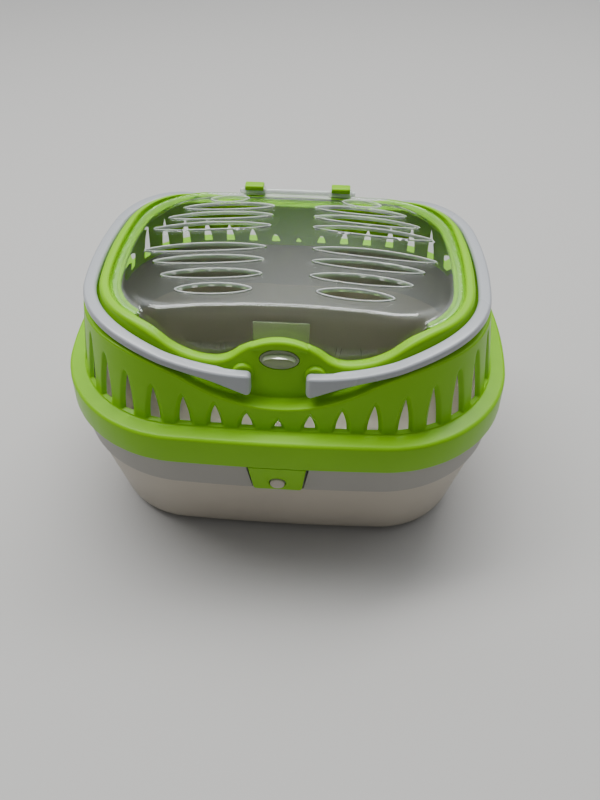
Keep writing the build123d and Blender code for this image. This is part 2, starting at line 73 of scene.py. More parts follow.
# how much further back the lid reaches, its hinge, the shell's hooks, and the latch's button
LID_REACH = 5.0
HINGE_Y, HINGE_Z = 82.0, 174.2
HOOK_X, HOOK_HALF, HOOK_FRONT, HOOK_REAR, HOOK_LOW, HOOK_TOP = 32.0, 6.9, 77.5, 86.2, 164.0, 180.0
BUTTON_Z = 159.3
# clips, whose faces lean, and the tray's studs
CLIP_OUT, CLIP_TOP, CLIP_LOW, CLIP_T, CLIP_LEAN = 117.0, 96.5, 72.5, 2.2, tan(radians(4.5))
STUD_Z, STUD_R = 80.0, 4.65


# ---- outline and level lines
def arcs(inset, corner=None):
    """The outline as arcs (centre, radius, angle0, angle1), anticlockwise from mid-front."""
    rf, rs = FRONT_R - inset, SIDE_R - inset
    r = CORNER_R - inset if corner is None else corner
    cf = Vector((0, rf - (HALF_D - inset)))
    cs = Vector((HALF_W - inset - rs, 0))
    apart = cs - cf
    span, to_f, to_s = apart.length, rf - r, rs - r
    along = (to_f ** 2 - to_s ** 2 + span ** 2) / (2 * span)
    across = sqrt(max(to_f ** 2 - along ** 2, 0))
    unit = apart / span
    cc = cf + unit * along + Vector((-unit.y, unit.x)) * across
    a1 = atan2(cc.y - cf.y, cc.x - cf.x)
    a2 = atan2(cc.y - cs.y, cc.x - cs.x)
    out = [(cf, rf, -pi / 2, a1), (cc, r, a1, a2), (cs, rs, a2, -a2),
           (Vector((cc.x, -cc.y)), r, -a2, -a1), (-cf, rf, -a1, pi / 2)]
    out += [(Vector((-c.x, c.y)), rr, pi - b, pi - a) for c, rr, a, b in reversed(out)]
    return out


REF = arcs(FOOT_IN)
LENGTHS = [r * (b - a) for c, r, a, b in REF]
TOTAL = sum(LENGTHS)
_cache = {}


def spot(t, inset, corner=None):
    """(x, y) and outward direction of the outline at t mm along the wall's foot."""
    key = (round(inset, 6), corner)
    if key not in _cache:
        _cache[key] = arcs(inset, corner)
    t = t % TOTAL
    for (c, r, a, b), length in zip(_cache[key], LENGTHS):
        if t <= length or length is LENGTHS[-1]:
            ang = a + (b - a) * min(t / length, 1.0)
            d = Vector((cos(ang), sin(ang)))
            return c + d * r, d
        t -= length


def arcsin(v):
    return atan2(v, sqrt(max(1 - v * v, 0)))


def t_at_x(x, front=True):
    """t where the wall's foot has this x, on the front or rear arc."""
    r = REF[0][1]
    along = r * arcsin(x / r)
    return along % TOTAL if front else (TOTAL / 2 - along) % TOTAL


def level(stations, x, middle_radius=None):
    """Height of a level line at |x|: level runs joined by S-curves of two arcs."""
    x = abs(x)
    for (x0, z0), (x1, z1) in zip(stations, stations[1:]):
        if x <= x1:
            if abs(z0 - z1) < 1e-9:
                return z0
            dx, dz = x1 - x0, z1 - z0
            both = (dx * dx + dz * dz) / (2 * abs(dz))
            r = middle_radius if middle_radius and x0 == 0 else both / 2
            s = 1 if dz > 0 else -1
            if x - x0 <= dx * r / both:
                return z0 + s * (r - sqrt(r * r - (x - x0) ** 2))
            r = both - r
            return z1 - s * (r - sqrt(r * r - (x1 - x) ** 2))


def crest(x, y):
    return level(CREST_F, x, NOSE_R) if y < 0 else level(CREST_R, x)


def wall_in(z):
    """Inset of the leaning wall's outer face."""
    return FOOT_IN + (z - FLANGE_Z) * LEAN


def rim_in(z):
    """Inset of the recessed wall's outer face."""
    return wall_in(z) + RIM_BACK


def shoulder_at(t):
    return level(SHOULDER, spot(t, wall_in(MID_WALL_Z))[0].x)


def clip_y(z):
    return CLIP_OUT - (CLIP_TOP - z) * CLIP_LEAN


def smooth(q):
    q = min(max(q, 0.0), 1.0)
    return q * q * (3 - 2 * q)


def soft_min(a, b, k):
    """The lower of a and b, rounded over where they are within k of each other."""
    h = max(k - abs(a - b), 0.0) / k
    return min(a, b) - h * h * k / 4


def rounded(points, n=4):
    """Polyline of (a, b, radius), where a corner with a radius becomes an arc of n + 1 points."""
    out = []
    for i, (a, b, r) in enumerate(points):
        p = Vector((a, b))
        if r <= 0:
            out.append(p)
            continue
        u = Vector(points[i - 1][:2]) - p
        w = Vector(points[(i + 1) % len(points)][:2]) - p
        lu, lw = u.length, w.length
        u, w = u / lu, w / lw
        half = u.angle(w) / 2
        d = min(r / tan(half), lu * 0.49, lw * 0.49)
        rr = d * tan(half)
        centre = p + (u + w).normalized() * (rr / sin(half))
        s, e = p + u * d - centre, p + w * d - centre
        a0 = atan2(s.y, s.x)
        turn = (atan2(e.y, e.x) - a0 + pi) % (2 * pi) - pi
        for k in range(n + 1):
            ang = a0 + turn * k / n
            out.append(centre + Vector((cos(ang), sin(ang))) * rr)
    return out


# ---- mesh helpers
def placed(t, section):
    """Points of a section of (inset, z) at t."""
    return [(*spot(t, s.x)[0], s.y) for s in section]
def shade(obj, angle):
    mesh = obj.data
    mesh.polygons.foreach_set("use_smooth", [True] * len(mesh.polygons))
    mesh.set_sharp_from_angle(angle=radians(angle))


def make(name, verts, faces, mat, merge=0.0, smooth_angle=35.0):
    """Mesh object from vertices in mm."""
    mesh = bpy.data.meshes.new(name)
    mesh.from_pydata([tuple(c * MM for c in v) for v in verts], [], faces)
    bm = bmesh.new()
    bm.from_mesh(mesh)
    if merge:
        bmesh.ops.remove_doubles(bm, verts=bm.verts, dist=merge * MM)
        bmesh.ops.dissolve_degenerate(bm, edges=bm.edges, dist=1e-7)
    loose = [v for v in bm.verts if not v.link_faces]
    bmesh.ops.delete(bm, geom=loose, context="VERTS")
    bmesh.ops.recalc_face_normals(bm, faces=bm.faces)
    bm.to_mesh(mesh)
    bm.free()
    obj = bpy.data.objects.new(name, mesh)
    SCENE.collection.objects.link(obj)
    mesh.materials.append(mat)
    shade(obj, smooth_angle)
    return obj


def grid_faces(rows, cols, close_cols=False, close_rows=False):
    faces = []
    for i in range(rows if close_rows else rows - 1):
        here, there = i * cols, (i + 1) % rows * cols
        for j in range(cols if close_cols else cols - 1):
            k = (j + 1) % cols
            faces.append((here + j, here + k, there + k, there + j))
    return faces


def tube_faces(rows, cols):
    """Faces of rings joined into a tube with both ends capped."""
    ends = [tuple(range(cols)), tuple(range((rows - 1) * cols, rows * cols))]
    return grid_faces(rows, cols, close_cols=True) + ends


def stations(step, extra):
    """t values all round: even steps, and extra ones at chosen x on the front and rear."""
    n = int(TOTAL / step)
    keep = [t_at_x(sx, front) for x in extra for front in (True, False) for sx in (x, -x)]
    ts = [i * TOTAL / n for i in range(n)]
    ts = [t for t in ts if all(min(abs(t - k), TOTAL - abs(t - k)) > step * 0.35 for k in keep)]
    return sorted(ts + keep)


def lathe(name, origin, axis, profile, mat, n=40):
    """Surface of revolution about an axis; profile is (radius, distance along the axis)."""
    z = Vector(axis).normalized()
    x = Vector((1, 0, 0)) if abs(z.x) < 0.9 else Vector((0, 1, 0))
    y = z.cross(x).normalized()
    x = y.cross(z).normalized()
    verts = []
    for r, h in profile:
        for k in range(n):
            a = 2 * pi * k / n
            verts.append(Vector(origin) + z * h + x * (r * cos(a)) + y * (r * sin(a)))
    faces = grid_faces(len(profile), n, close_cols=True)
    if profile[0][0] > 0:
        faces.append(tuple(range(n)))
    return make(name, verts, faces, mat, merge=0.001, smooth_angle=40)


def prism(name, profile, x0, x1, mat):
    """Profile of (y, z) drawn out along X, with its side edges rounded off."""
    edge = 0.6
    steps = [(0.0, edge), (edge * 0.3, edge * 0.3), (edge, 0.0)]
    xs = [(x0 + a, b) for a, b in steps] + [(x1 - a, b) for a, b in reversed(steps)]
    n = len(profile)
    normals = []
    for k in range(n):
        tangent = profile[(k + 1) % n] - profile[k - 1]
        tangent = tangent.normalized() if tangent.length > 1e-9 else Vector((1, 0))
        normals.append(Vector((-tangent.y, tangent.x)))
    swept = sum(profile[k - 1].x * profile[k].y - profile[k].x * profile[k - 1].y for k in range(n))
    sign = 1 if swept > 0 else -1
    verts = []
    for x, pull in xs:
        for q, normal in zip(profile, normals):
            q = q + normal * (pull * sign)
            verts.append((x, q.x, q.y))
    return make(name, verts, tube_faces(len(xs), n), mat, smooth_angle=40)


def join(base, others):
    """Joins other meshes into base."""
    for o in others:
        bm = bmesh.new()
        bm.from_mesh(base.data)
        bm.from_mesh(o.data)
        bm.to_mesh(base.data)
        bm.free()
        bpy.data.objects.remove(o)


# ---- materials
def connect(nt, target, inputs):
    """Sets a node's inputs, from values or from the sockets that feed them."""
    for key, value in inputs.items():
        if isinstance(value, bpy.types.NodeSocket):
            nt.links.new(value, target.inputs[key])
        else:
            target.inputs[key].default_value = value


def socket(nt, kind, inputs, output):
    """Output socket of a new node with these inputs."""
    made = nt.nodes.new(kind)
    connect(nt, made, inputs)
    return made.outputs[output]


def new_material(name):
    m = bpy.data.materials.new(name)
    m.use_nodes = True
    return m, m.node_tree, m.node_tree.nodes["Principled BSDF"]


def material(name, colour, rough, spec):
    """Moulded plastic: faint mottling of colour and gloss, and a fine moulded grain."""
    m, nt, shader = new_material(name)
    place = socket(nt, "ShaderNodeTexCoord", {}, "Object")
    big = socket(nt, "ShaderNodeTexNoise", {"Vector": place, "Scale": 14.0, "Detail": 3.0}, "Fac")
    fine = socket(nt, "ShaderNodeTexNoise", {"Vector": place, "Scale": 900.0, "Detail": 2.0}, "Fac")
    ramp = nt.nodes.new("ShaderNodeValToRGB")
    connect(nt, ramp, {"Fac": big})
    for stop, at, share in zip(ramp.color_ramp.elements, (0.3, 0.7), (0.96, 1.04)):
        stop.position = at
        stop.color = tuple(min(c * share, 1) for c in colour) + (1,)
    gloss = {"Value": big, "To Min": rough - 0.04, "To Max": rough + 0.05}
    grain = {"Height": fine, "Strength": 0.02, "Distance": 0.0004}
    connect(nt, shader, {
        "Base Color": ramp.outputs["Color"],
        "Specular IOR Level": spec,
        "Roughness": socket(nt, "ShaderNodeMapRange", gloss, "Result"),
        "Normal": socket(nt, "ShaderNodeBump", grain, "Normal")})
    return m


def clear_material(name, colour, ior, rough, through, coat):
    """Clear moulded plastic: refracting, with slight waviness of its gloss."""
    m, nt, shader = new_material(name)
    place = socket(nt, "ShaderNodeTexCoord", {}, "Object")
    wave = socket(nt, "ShaderNodeTexNoise", {"Vector": place, "Scale": 45.0, "Detail": 1.0}, "Fac")
    gloss = {"Value": wave, "To Min": rough - 0.01, "To Max": rough + 0.02}
    swell = {"Height": wave, "Strength": 0.05, "Distance": 0.001}
    connect(nt, shader, {
        "Base Color": colour + (1,),
        "Transmission Weight": through,
        "IOR": ior,
        "Coat Weight": 1.0,
        "Coat IOR": coat,
        "Coat Roughness": 0.04,
        "Roughness": socket(nt, "ShaderNodeMapRange", gloss, "Result"),
        "Normal": socket(nt, "ShaderNodeBump", swell, "Normal")})
    return m


GREEN = material("shell_green", (0.24, 0.57, 0.0015), 0.33, 0.22)
GREY = material("handle_grey", (0.40, 0.415, 0.435), 0.27, 0.6)
TRAY = material("tray_grey", (0.53, 0.48, 0.40), 0.40, 0.4)
# band of the tray: darker and cooler grey than the tub, painted shade standing in for the shade
# under the flange's overhang
BAND_PAINTED_SHADE = material("tray_band_painted_shade", (0.385, 0.37, 0.335), 0.45, 0.35)
CLEAR = clear_material("lid_clear", (0.935, 0.985, 0.94), 1.10, 0.03, 1.0, 1.6)
# slit rims, slit walls and hinge rod: part opaque white with a rougher gloss; the white is a
# painted highlight standing in for the bright edges that refraction gives clear plastic
MILKY_PAINTED_HIGHLIGHT = clear_material("lid_rims_and_rod_painted_highlight", (0.93, 0.97, 0.95), 1.12, 0.16, 0.55, 1.5)
PLATE = clear_material("tongue_clear", (0.78, 0.93, 0.55), 1.08, 0.12, 0.80, 1.5)
BUTTON = clear_material("button_clear", (0.24, 0.32, 0.09), 1.20, 0.10, 0.35, 1.8)
# bevel ring of the button: lighter colour and a stronger coat than the rest of it, a painted
# highlight standing in for the bright crescent of light on the bevel
PAINTED_GLINT = clear_material("button_bevel_painted_glint", (0.62, 0.66, 0.50), 1.20, 0.10, 0.35, 3.0)


# ---- slotted wall and shell
SLOT_PITCH = 19.5
COUNT = 4 * round(TOTAL / SLOT_PITCH / 4)
PITCH = TOTAL / COUNT
SLOT_LOW, SLOT_RISE, SLOT_HIGH = 4.0, 4.4, 38.0
SLOT_NARROW, SLOT_WIDE = 4.2, 6.6
SCOOP_D, SCOOP_W, SCOOP_UP = 2.1, 2.9, 4.5
SILL_Z, FOOT_R = 119.5, 1.3
# columns of half a slot's bay, from the slot's edge to the bay's edge, and rows up the wall
SPREAD = [0.0, 0.1, 0.3, 0.5, 0.7, 0.9, 1.0]
FLAT = [0.3, 0.65, 1.0]
HALF_BAY = [("scoop", q) for q in SPREAD] + [("flat", q) for q in FLAT]
SLOT_ROWS, TOP_ROWS, BODY_ROWS = 9, 4, 5
ROWS = [("foot", 0.5), ("foot", 1.0)]
ROWS += [(row, k / n) for row, n in (("slot", SLOT_ROWS), ("peak", TOP_ROWS), ("body", BODY_ROWS))
         for k in range(1, n + 1)]
# behind the nose the rim is narrower by this, up to this |x|, and widens over this much
THIN_BY, THIN_FROM, THIN_OVER = 1.7, 17.3, 9.0
# under the shoulder the inner face's rows are squeezed, so that they stay below it
SQUEEZE_FROM, SQUEEZE_TO, SQUEEZE_OF = 7.6, 3.0, 6.2


def slot_facts(i):
    """Height and half width of slot i: lowest at the middle of the front and rear."""
    k = min(i % (COUNT // 2), -i % (COUNT // 2))
    return min(SLOT_LOW + SLOT_RISE * k, SLOT_HIGH), (SLOT_NARROW if k == 0 else SLOT_WIDE) / 2


def slot_half(v, half):
    """Half width of a slot at v of its height: a lancet with a flat sill."""
    return half * (1 - max(v, 0) ** 1.9) if v < 1 else 0.0


def bay_point(i, side, kind, q, row, u, inner):
    """Point of the slotted wall: t, z and how far it is scooped in from the outer face."""
    height, half = slot_facts(i)
    nxt, _ = slot_facts(i + side)
    if row == "foot":
        w, wr = half, half + SCOOP_W
    elif row == "slot":
        w = slot_half(u, half)
        wr = w + SCOOP_W
    elif row == "peak":
        w, wr = 0.0, SCOOP_W * (1 - u ** 1.5)
    else:
        w, wr = 0.0, 0.0
    edge = PITCH / 2
    d = w + (wr - w) * q if kind == "scoop" else wr + (edge - wr) * q
    if row == "body":
        even = edge * HALF_BAY.index((kind, q)) / (len(HALF_BAY) - 1)
        packed = 0.0 if kind == "scoop" else edge * q
        d = packed + (even - packed) * smooth(u * 1.6)
    # heights ease to the mean of this slot's and the next one's at the bay's edge
    h = height + (nxt - height) / 2 * (d / edge)
    t = i * PITCH + side * d
    top = shoulder_at(t) - 1.4
    peak = min(SILL_Z + h + SCOOP_UP, top - 1.0)
    foot_z = FLANGE_Z + FOOT_R * 0.4
    if row == "foot":
        z = foot_z + (SILL_Z - FLANGE_Z - FOOT_R * 0.4) * u
    elif row == "slot":
        z = SILL_Z + h * u
    elif row == "peak":
        z = SILL_Z + h + (peak - SILL_Z - h) * u
    else:
        z = peak + (top - peak) * u
    if inner or kind == "flat" or row == "body":
        return t, z, 0.0
    depth = 1 - smooth(q)
    if row == "foot":
        depth = (min(depth, smooth(u)) if u < 1 else depth) * u
    if row == "peak":
        depth *= 1 - smooth(u)
    return t, z, depth * SCOOP_D


def rim_section(t):
    """Shoulder, recessed wall and rim at t: (inset, z) from outside over the top to the inside."""
    x = spot(t, rim_in(165) + RIM_W / 2)[0].x
    y = spot(t, 20)[0].y
    zs, zc = shoulder_at(t), crest(x, y)
    thin = 1 - smooth((abs(x) - THIN_FROM) / THIN_OVER) if y < 0 else 0.0
    width = RIM_W - THIN_BY * thin
    inner_z = zc - RIM_H
    # under the nose lip the rim lies lower, so that the two faces don't fight
    zc -= 0.9 * (1 - smooth((abs(x) - LIP_HALF + 1.4) / 0.8)) if y < 0 else 0.0
    step_z = min(zc - 0.01, LEDGE_TOP)
    band = width - LID_REACH * max(spot(t, 20)[1].y, 0.0)
    edge = min(2.7, band * 0.45)
    panel = RIM_BACK + WALL_T
    under = zs - WALL_T
    pts = [(wall_in(zs - 3), zs - 3, 0), (wall_in(zs), zs, 1.3), (rim_in(zs), zs, 1.0),
           (rim_in(zc), zc, 2.9 if band > 4 else max(edge, 0.7)), (rim_in(zc) + band, zc, edge),
           (rim_in(step_z) + band, step_z, 0.05),
           (rim_in(step_z) + width + 0.01, step_z - 0.005, 0.05),
           (rim_in(inner_z) + width, inner_z, 0.5),
           (wall_in(inner_z) + panel, inner_z, 0.4), (wall_in(under) + panel, under, 0.6),
           (wall_in(under) + WALL_T, under, 0.8), (wall_in(zs - 8) + WALL_T, zs - 8, 0)]
    return [(p.x, p.y) for p in rounded(pts, 4)[1:-1]]


def build_shell():
    """Skirt, flange, slotted wall, shoulder, recessed wall and rim, as one closed mesh."""
    columns = []
    for i in range(COUNT):
        columns += [(i, -1, kind, q) for kind, q in reversed(HALF_BAY[:-1])]
        columns += [(i, 1, kind, q) for kind, q in HALF_BAY]
    n_cols = len(columns)
    verts = []

    def ring(place):
        """Adds one ring of vertices, from place(i, side, kind, q), which gives t, inset and z."""
        for column in columns:
            t, inset, z = place(*column)
            p, _ = spot(t, inset)
            verts.append((p.x, p.y, z))

    def plain_rings(points):
        for pt in points:
            ring(lambda *column: (bay_point(*column, "foot", 0.0, True)[0], pt.x, pt.y))

    # rings run from the skirt's inner bottom, outside, over the top, and back down inside
    skirt_z = FLANGE_Z - SKIRT_H
    plain_rings(rounded([(SKIRT_T - FLARE + 0.05, skirt_z, 0), (-FLARE, skirt_z, 0.7),
                         (0, FLANGE_Z, 2.6), (FOOT_IN, FLANGE_Z, FOOT_R),
                         (wall_in(FLANGE_Z + 4), FLANGE_Z + 4, 0)], 5)[1:-1])
    slot_first = len(verts) // n_cols + 1
    for row, u in ROWS:
        def outer(*column):
            t, z, scoop = bay_point(*column, row, u, False)
            return t, wall_in(z) + scoop, z
        ring(outer)
    sections = {}
    for j in range(len(rim_section(0.0))):
        def upper(*column):
            t = bay_point(*column, "body", 1.0, True)[0]
            if t not in sections:
                sections[t] = rim_section(t)
            return (t, *sections[t][j])
        ring(upper)
    for row, u in reversed(ROWS):
        def inner(*column):
            t, z, _ = bay_point(*column, row, u, True)
            start = shoulder_at(t) - SQUEEZE_FROM
            z = z if z < start else start + (z - start) * SQUEEZE_TO / SQUEEZE_OF
            return t, wall_in(z) + WALL_T, z
        ring(inner)
    sill_inside = len(verts) // n_cols - 2
    under_z = FLANGE_Z - FLANGE_T
    flare_in = SKIRT_T - FLARE * FLANGE_T / SKIRT_H
    plain_rings(rounded([(wall_in(FLANGE_Z + 2) + WALL_T, FLANGE_Z + 2, 0),
                         (FOOT_IN + WALL_T, under_z, 0.8), (flare_in, under_z, 0.8),
                         (SKIRT_T - FLARE, skirt_z, 0.5), (-FLARE, skirt_z, 0)], 3)[1:-1])

    n_rings = len(verts) // n_cols
    gaps = [c for c in range(n_cols - 1) if columns[c][1] < columns[c + 1][1]]
    open_rings = [*range(slot_first, slot_first + SLOT_ROWS),
                  *range(sill_inside - SLOT_ROWS, sill_inside)]

    def at(r, c):
        return r % n_rings * n_cols + c % n_cols

    faces = []
    for r in range(n_rings):
        for c in range(n_cols):
            if c not in gaps or r not in open_rings:
                faces.append((at(r, c), at(r, c + 1), at(r + 1, c + 1), at(r + 1, c)))
    # the slots' own walls, from the outer face to the inner one
    for c in gaps:
        for k in range(SLOT_ROWS):
            out, back = slot_first + k, sill_inside - k
            for side in (c, c + 1):
                faces.append((at(out, side), at(out + 1, side), at(back - 1, side), at(back, side)))
        faces.append((at(slot_first, c), at(slot_first, c + 1),
                      at(sill_inside, c + 1), at(sill_inside, c)))
    return make("shell_body", verts, faces, GREEN, merge=0.004, smooth_angle=38)


shell = build_shell()
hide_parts("body_shell")
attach(shell, "shell")


# ---- handles
def handle_bottom(x):
    """Lower edge of a handle, which hangs lower round its pivot."""
    end = HANDLE_END_Z + max(abs(x) - HANDLE_END_X, 0) * HANDLE_END_RISE
    return soft_min(level(HANDLE_TOP, x) - HANDLE_H, end, 2.5)


def build_handle(name, sign, node, body):
    """A bail along the shoulder, from its front pivot round the side to its rear one."""
    t0, t1 = t_at_x(HANDLE_X), t_at_x(HANDLE_X, False)
    n, end_r = 150, 3.0
    steps = [(0.0, end_r * 0.999)]
    steps += [(end_r * (1 - cos(k * pi / 12)), end_r * (1 - sin(k * pi / 12))) for k in range(1, 7)]
    ts = [(t0 + a, b) for a, b in steps]
    ts += [(t0 + end_r + (t1 - t0 - 2 * end_r) * k / n, 0.0) for k in range(1, n)]
    ts += [(t1 - a, b) for a, b in reversed(steps)]
    verts = []
    for t, shrink in ts:
        x = spot(t, wall_in(160) + 4)[0].x
        top, low = level(HANDLE_TOP, x) - shrink, handle_bottom(x) + shrink
        flat = 1 - smooth((abs(x) - 31) / 5)
        corners = []
        for z, inner in ((low, False), (low, True), (top, True), (top, False)):
            i = wall_in(z) + (HANDLE_D if inner else 0.0)
            if inner and flat > 0:
                i += (min(i, HALF_D - HANDLE_INNER_Y) - i) * flat
            corners.append((i + (-shrink if inner else shrink), z, max(HANDLE_R - shrink, 0.05)))
        section = rounded(corners, 5)
        verts += [(x * sign, y, z) for x, y, z in placed(t, section)]
    obj = make(name, verts, tube_faces(len(ts), len(section)), GREY, smooth_angle=50)
    pin = [(2.5, 0.0), (2.5, 5.2), (2.1, 5.7), (0, 5.7)]
    join(obj, [lathe("pin", (PIVOT_X * sign, end * 91.5, PIVOT_Z), (0, -end, 0), pin, GREY)
               for end in (-1, 1)])
    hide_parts(node)
    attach(obj, body)


build_handle("handle_right", 1, "right_handle", "right_handle")
build_handle("handle_left", -1, "left_handle", "left_handle")


# ---- tray
TRAY_WALL, TRAY_FLOOR = 2.2, 2.6
BAND_TOP, TRAY_TOP = 98.0, 115.0
TUB_TOP, TUB_IN, BASE_IN, BASE_R = 71.0, 3.4, 16.5, 60.0
# clips' pockets: half widths at the band's top and foot, inset, and |x| where columns run straight
POCKET_TOP, POCKET_LOW, POCKET_IN, POCKET_END = 20.2, 16.3, 4.6, 30


def pocket_half(z):
    q = min(max((z - TUB_TOP) / (BAND_TOP - TUB_TOP), 0), 1)
    return POCKET_LOW + (POCKET_TOP - POCKET_LOW) * q


def tub_in(z):
    return BASE_IN + (TUB_IN - BASE_IN) * z / TUB_TOP


def tub_r(z):
    return BASE_R + (CORNER_R - TUB_IN - BASE_R) * z / TUB_TOP


def tray_profile():
    """Section of the tray: (inset, z, corner radius, kind), kind 1 set in at pockets, 2 behind."""
    steps = 7
    rise = [(1 - cos(pi / 2 * k / steps), 1 - sin(pi / 2 * k / steps)) for k in range(steps + 1)]
    fillet = 10.0
    out = [(BASE_IN + fillet * 2.4, 0.0, BASE_R - fillet * 2.4, 0)]
    for up, across in rise:
        z = fillet * up * 0.97
        out.append((tub_in(z) + fillet * across, z, tub_r(z) - fillet * across, 0))
    out += [(tub_in(z), z, tub_r(z), 0) for z in (14, 20, 30, 40, 50, 60, 67)]

    def add(kind, *points):
        out.extend((inset, z, None, kind) for inset, z in points)

    # step out to the band, up its face and in to the hidden lip
    add(0, (TUB_IN + 0.02, 70.6), (TUB_IN - 0.25, 70.95), (TUB_IN - 0.6, 71.0))
    add(1, (2.35, 71.02), (2.05, 71.2), (1.92, 71.7), (1.87, 72.6))
    add(1, *((1.9 - 0.8 * (z - 71) / 27, z) for z in (78, 84, 90, 95, 97.3)))
    add(1, (1.25, 97.8), (1.6, BAND_TOP))
    add(0, (3.2, BAND_TOP), (3.4, 98.2), (3.4, 114.4), (3.65, 114.9), (4.0, TRAY_TOP),
        (5.0, TRAY_TOP), (5.4, 114.9), (5.6, 114.5))
    # and down inside to the floor
    add(2, (5.6, BAND_TOP), (5.6, 84.0), (5.6, 71.0))
    add(0, (5.62, 69.0))
    out += [(tub_in(z) + TRAY_WALL, z, tub_r(z) - TRAY_WALL, 0) for z in (60, 45, 30, 18)]
    fillet = 8.0
    for up, across in reversed(rise):
        z = TRAY_FLOOR + fillet * up
        inset, corner = tub_in(z) + TRAY_WALL, tub_r(z) - TRAY_WALL
        out.append((inset + fillet * across, z, corner - fillet * across, 0))
    return out + [(BASE_IN + 26, TRAY_FLOOR, BASE_R - 26, 0)]


def build_tray():
    ts = stations(2.8, (19.6, 20.15, 20.25, 20.8, 23.0, 26.0, POCKET_END, 17.0, 14.0, 10.0))
    profile = tray_profile()
    verts = []
    for t in ts:
        p, _ = spot(t, FOOT_IN)
        ax = abs(p.x)
        pocket = abs(p.y) > 95 and ax < POCKET_END + 0.5
        for inset, z, corner, kind in profile:
            at = t
            if pocket:
                s = pocket_half(z) / POCKET_TOP
                if ax <= POCKET_TOP:
                    x = ax * s
                else:
                    rest = POCKET_END - POCKET_TOP
                    x = POCKET_TOP * s + (ax - POCKET_TOP) * (POCKET_END - POCKET_TOP * s) / rest
                at = t_at_x(min(x, POCKET_END + 0.49) * (1 if p.x > 0 else -1), p.y < 0)
                if kind == 1 and ax < POCKET_TOP:
                    inset = POCKET_IN
                if kind == 2 and ax < 23.5:
                    inset = POCKET_IN + TRAY_WALL
            q, _ = spot(at, inset, corner)
            verts.append((q.x, q.y, z))
    n, count = len(ts), len(profile)
    faces = grid_faces(n, count, close_rows=True)
    under = len(verts)
    verts += [(0, 0, 0.0), (0, 0, TRAY_FLOOR)]
    for j in range(n):
        a, b = j * count, ((j + 1) % n) * count
        faces.append((under, a, b))
        faces.append((under + 1, b + count - 1, a + count - 1))
    tray = make("tray_body", verts, faces, TRAY, smooth_angle=32)
    # the band's faces take the darker band material: painted shade under the flange
    tray.data.materials.append(BAND_PAINTED_SHADE)
    for face in tray.data.polygons:
        if TUB_TOP + 0.3 < face.center.z / MM < TRAY_TOP:
            face.material_index = 1
    base = HALF_D - POCKET_IN - 1
    length = clip_y(STUD_Z) + 1.2 - base
    head = [(STUD_R, 0), (STUD_R, length - 1.1)]
    head += [(STUD_R - 1.1 * (1 - cos(a)), length - 1.1 + 0.8 * sin(a))
             for a in (0.4, 0.8, 1.2, 1.57)]
    head += [(2.4, length - 0.12), (1.2, length - 0.03), (0, length)]
    join(tray, [lathe("stud", (0, end * base, STUD_Z), (0, end, 0), head, TRAY) for end in (-1, 1)])
    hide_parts("tray")
    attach(tray, "tray")


build_tray()


# ---- clips
def build_clip(name, end, node):
    """Green tongue with rounded tip and a hole round the tray's stud."""
    outline = rounded([(-15.5, CLIP_LOW, 2.2), (15.5, CLIP_LOW, 2.2),
                       (18.0, CLIP_TOP, 0), (-18.0, CLIP_TOP, 0)], 6)
    edge = []
    for i, p in enumerate(outline):
        q = outline[(i + 1) % len(outline)]
        k = max(int((q - p).length / 1.5), 1)
        edge += [p + (q - p) * (j / k) for j in range(k)]
    centre = Vector((0, STUD_Z))
    hole = [centre + (p - centre).normalized() * (STUD_R + 0.6) for p in edge]
    rings = [[(h + (p - h) * mix, lift) for h, p in zip(hole, edge)]
             for mix, lift in ((0.0, 0.7), (0.03, 0.2), (0.07, 0.0), (0.35, 0.0), (0.7, 0.0))]
    for back, lift in ((0.7, 0.0), (0.3, 0.12), (0.08, 0.4), (0.0, 0.8)):
        rings.append([(p, 0) if p.y > CLIP_TOP - 0.01 else (p + (h - p).normalized() * back, lift)
                      for h, p in zip(hole, edge)])
    verts = [(p.x, end * (clip_y(p.y) - lift), p.y) for ring in rings for p, lift in ring]
    verts += [(p.x, end * (clip_y(p.y) - CLIP_T), p.y) for p, _ in rings[-1] + rings[0]]
    faces = grid_faces(len(rings) + 2, len(edge), close_cols=True, close_rows=True)
    obj = make(name, verts, faces, GREEN, smooth_angle=40)
    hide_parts(node)
    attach(obj, node)


build_clip("clip_front", -1, "front_clip")
build_clip("clip_rear", 1, "rear_clip")


# ---- ledge, hooks and bosses of the shell
def build_ledge():
    """Ledge under the lid's edge, from one front corner round the back to the other."""
    n, tries, end_r = 230, 4000, 3.2
    wall = wall_in(170)
    start = next(t for t in (TOTAL * k / tries / 4 for k in range(tries))
                 if spot(t, wall + 22)[0].x >= LEDGE_END)
    ts = [start + (TOTAL - 2 * start) * k / n for k in range(n + 1)]
    verts = []
    for t in ts:
        p, _ = spot(t, wall + 18)
        z = min(LEDGE_TOP, crest(p.x, p.y) - 0.4)
        end = min(max(min(t - start, TOTAL - start - t), 0.0) / end_r, 1.0)
        inner = wall + RIM_BACK + RIM_W + LEDGE_W - end_r * (1 - sqrt(1 - (1 - end) ** 2))
        root = wall + RIM_BACK + WALL_T - 0.5
        section = rounded([(root, z - LEDGE_T, 0), (inner, z - LEDGE_T, 0.9), (inner, z + 0.5, 1.0),
                           (inner - 2.4, z + 0.5, 0.6), (inner - 3.0, z, 0.5), (root, z, 0)], 3)
        verts += placed(t, section)
    ledge = make("shell_ledge", verts, tube_faces(len(ts), len(section)), GREEN)
    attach(ledge, "shell")


